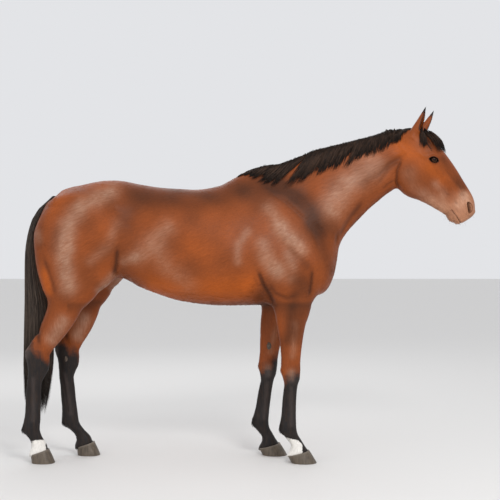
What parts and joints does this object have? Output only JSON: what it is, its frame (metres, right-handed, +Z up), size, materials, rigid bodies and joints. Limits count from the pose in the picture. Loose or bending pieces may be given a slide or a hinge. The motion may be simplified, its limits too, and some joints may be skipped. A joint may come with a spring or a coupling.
{
  "type": "horse",
  "caption": "Standing bay horse with black mane, tail and lower legs and two white pasterns, as a still, life-size model.",
  "frame": {"origin": "on the floor under the middle of the horse's bounding box", "axes": "+X towards the head, +Y to the horse's left, +Z up"},
  "size_m": [2.5776, 0.5942, 1.9931],
  "materials": {
    "bay_coat": "short glossy red-brown coat, darker along the back",
    "black_points": "short black coat of the lower legs, white on two pasterns",
    "black_hair": "long coarse black hair with a soft sheen",
    "hoof_horn": "grey-brown horn with fine upright grain and growth rings",
    "eye": "wet, very dark brown"
  },
  "bodies": {
    "root": {"head": "bay_coat", "neck": "bay_coat", "forequarters": "bay_coat", "barrel": "bay_coat", "croup": "bay_coat", "forearm_right": "bay_coat", "thigh_right": "bay_coat", "gaskin_right": "bay_coat", "fore_cannon_right": "black_points", "fore_pastern_right": "black_points", "hind_cannon_right": "black_points", "hind_pastern_right": "black_points", "fore_hoof_right": "hoof_horn", "hind_hoof_right": "hoof_horn", "ear_right": "bay_coat", "eye_right": "eye", "forearm_left": "bay_coat", "thigh_left": "bay_coat", "gaskin_left": "bay_coat", "fore_cannon_left": "black_points", "fore_pastern_left": "black_points", "hind_cannon_left": "black_points", "hind_pastern_left": "black_points", "fore_hoof_left": "hoof_horn", "hind_hoof_left": "hoof_horn", "ear_left": "bay_coat", "eye_left": "eye", "mane": "black_hair", "forelock": "black_hair", "dock": "black_hair", "tail": "black_hair"}
  },
  "joints": []
}
